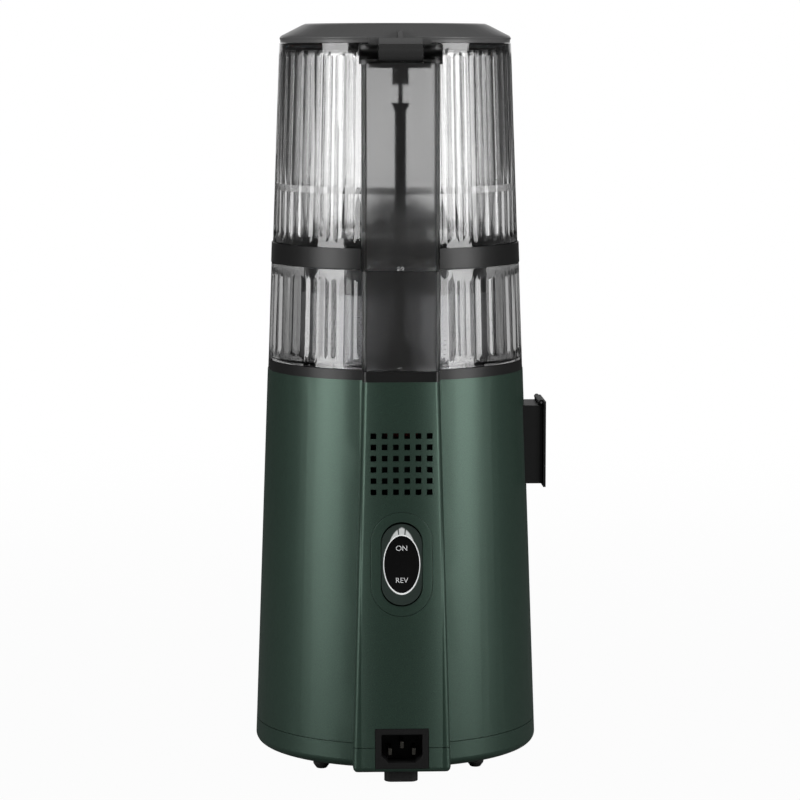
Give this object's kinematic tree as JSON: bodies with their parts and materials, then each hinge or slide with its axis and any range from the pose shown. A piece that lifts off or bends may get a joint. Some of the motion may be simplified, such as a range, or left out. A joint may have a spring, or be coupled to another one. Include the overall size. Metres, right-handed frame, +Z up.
{
  "type": "cold press juicer",
  "caption": "Tall slow juicer: tapered motor base with rear spine and rocker switch, clear bowl with strainer and auger, fluted hopper, hinged lid.",
  "frame": {"origin": "on the auger's vertical axis, at the level of the table that the feet stand on", "axes": "+Z up; -Y out of the rear spine with the switch and the mains inlet; +Y out of the juice spout; +X out of the pulp outlet"},
  "size_m": [0.1774, 0.2084, 0.4478],
  "materials": {
    "green_paint": "satin metallic paint on moulded ABS",
    "black_plastic": "satin moulded",
    "smoke_dark": "dark smoke, polished",
    "smoke_clear": "smoke tinted, fluted",
    "clear_plastic": "lightly tinted, fluted",
    "chrome": "bright plated plastic",
    "gloss_black": "gloss moulded",
    "rubber_black": "matt",
    "silicone": "matt silicone",
    "steel": "ground",
    "strainer_steel": "perforated sheet",
    "resin_dark": "food-grade resin",
    "alloy": "die cast, dark",
    "copper": "enamelled winding on a laminated core",
    "magnet": "ferrite",
    "gear_resin": "acetal",
    "board": "circuit board",
    "switch_red": "moulded"
  },
  "bodies": {
    "base": {"base_tray": "green_paint", "main_housing": "green_paint", "tray_screws": "steel", "rubber_feet": "rubber_black", "rear_foot": "rubber_black", "motor_cradle": "black_plastic", "motor_can": "steel", "field_magnets": "magnet", "motor_bearings": "steel", "gearbox_case": "alloy", "motor_screws": "steel", "ring_gear": "alloy", "gearbox_cover": "alloy", "gearbox_screws": "steel", "output_bearing": "steel", "control_board": "board", "switch_trim": "green_paint", "switch_box": "black_plastic", "power_inlet": "black_plastic", "inlet_pins": "steel", "bowl_well": "black_plastic", "well_screws": "steel", "shaft_seal": "silicone", "microswitch": "switch_red", "plunger_spring": "steel", "juice_spout": "black_plastic", "cap_pin": "steel", "pulp_outlet": "black_plastic", "door_pin": "steel"},
    "rotor": {"rotor_shaft": "steel", "rotor_core": "copper", "cooling_fan": "gear_resin", "sun_gear": "steel"},
    "planet_1": {"planet_gear_1": "gear_resin"},
    "planet_2": {"planet_gear_2": "gear_resin"},
    "planet_3": {"planet_gear_3": "gear_resin"},
    "drive": {"output_shaft": "steel"},
    "rocker": {"rocker_button": "chrome", "rocker_inlay": "gloss_black"},
    "plunger": {"interlock_plunger": "steel"},
    "cap": {"spout_cap": "black_plastic"},
    "door": {"outlet_door": "black_plastic"},
    "bowl": {"bowl": "clear_plastic", "bowl_seal": "silicone", "bowl_tube": "black_plastic", "strainer_frame": "resin_dark", "strainer_sleeve": "strainer_steel"},
    "lower_pin": {"bowl_pin": "steel"},
    "auger": {"auger": "resin_dark"},
    "hopper": {"hopper": "smoke_clear", "hopper_band": "black_plastic", "hopper_seal": "silicone", "hopper_tube": "black_plastic", "hinge_pin": "steel"},
    "upper_pin": {"hopper_pin": "steel"},
    "lid": {"lid": "smoke_dark", "lid_seal": "silicone"}
  },
  "joints": [
    {"name": "rotor_spin", "type": "hinge", "parent": "base", "child": "rotor", "pos_m": [0, 0, 0.07], "axis": [0, 0, 1], "continuous": true},
    {"name": "drive_spin", "type": "hinge", "parent": "base", "child": "drive", "pos_m": [0, 0, 0.15], "axis": [0, 0, 1], "continuous": true},
    {"name": "planet_1_spin", "type": "hinge", "parent": "drive", "child": "planet_1", "pos_m": [0.021, 0, 0.105], "axis": [0, 0, 1], "continuous": true},
    {"name": "planet_2_spin", "type": "hinge", "parent": "drive", "child": "planet_2", "pos_m": [-0.0105, 0.01819, 0.105], "axis": [0, 0, 1], "continuous": true},
    {"name": "planet_3_spin", "type": "hinge", "parent": "drive", "child": "planet_3", "pos_m": [-0.0105, -0.01819, 0.105], "axis": [0, 0, 1], "continuous": true},
    {"name": "auger_spin", "type": "hinge", "parent": "bowl", "child": "auger", "pos_m": [0, 0, 0.2], "axis": [0, 0, 1], "continuous": true},
    {"name": "rocker_tilt", "type": "hinge", "parent": "base", "child": "rocker", "pos_m": [0, -0.08523, 0.13167], "axis": [1, 0, 0], "range_deg": [-6, 6]},
    {"name": "spout_cap_hinge", "type": "hinge", "parent": "base", "child": "cap", "pos_m": [0, 0.098, 0.1896], "axis": [1, 0, 0], "range_deg": [0, 100]},
    {"name": "outlet_door_hinge", "type": "hinge", "parent": "base", "child": "door", "pos_m": [0.0885, 0, 0.2187], "axis": [0, -1, 0], "range_deg": [0, 100]},
    {"name": "bowl_lift", "type": "slide", "parent": "base", "child": "bowl", "axis": [0, 0, 1], "range_m": [0, 0.1]},
    {"name": "hopper_lift", "type": "slide", "parent": "bowl", "child": "hopper", "axis": [0, 0, 1], "range_m": [0, 0.06]},
    {"name": "lid_hinge", "type": "hinge", "parent": "hopper", "child": "lid", "pos_m": [0, -0.076, 0.43015], "axis": [1, 0, 0], "range_deg": [0, 105]},
    {"name": "upper_pin_slide", "type": "slide", "parent": "hopper", "child": "upper_pin", "axis": [0, 0, 1], "range_m": [0, 0.004]},
    {"name": "lower_pin_slide", "type": "slide", "parent": "bowl", "child": "lower_pin", "axis": [0, 0, 1], "range_m": [0, 0.004]},
    {"name": "plunger_slide", "type": "slide", "parent": "base", "child": "plunger", "axis": [0, 0, 1], "range_m": [0, 0.004], "deforming": ["plunger_spring"]}
  ],
  "couplings": [
    {"joint": "drive_spin", "follows": "rotor_spin", "ratio": 0.14286},
    {"joint": "auger_spin", "follows": "rotor_spin", "ratio": 0.14286},
    {"joint": "planet_1_spin", "follows": "rotor_spin", "ratio": -0.34286},
    {"joint": "planet_2_spin", "follows": "rotor_spin", "ratio": -0.34286},
    {"joint": "planet_3_spin", "follows": "rotor_spin", "ratio": -0.34286},
    {"joint": "upper_pin_slide", "follows": "lid_hinge", "m_per_rad": 0.0021281},
    {"joint": "lower_pin_slide", "follows": "lid_hinge", "m_per_rad": 0.0021281},
    {"joint": "plunger_slide", "follows": "lid_hinge", "m_per_rad": 0.0021281}
  ]
}
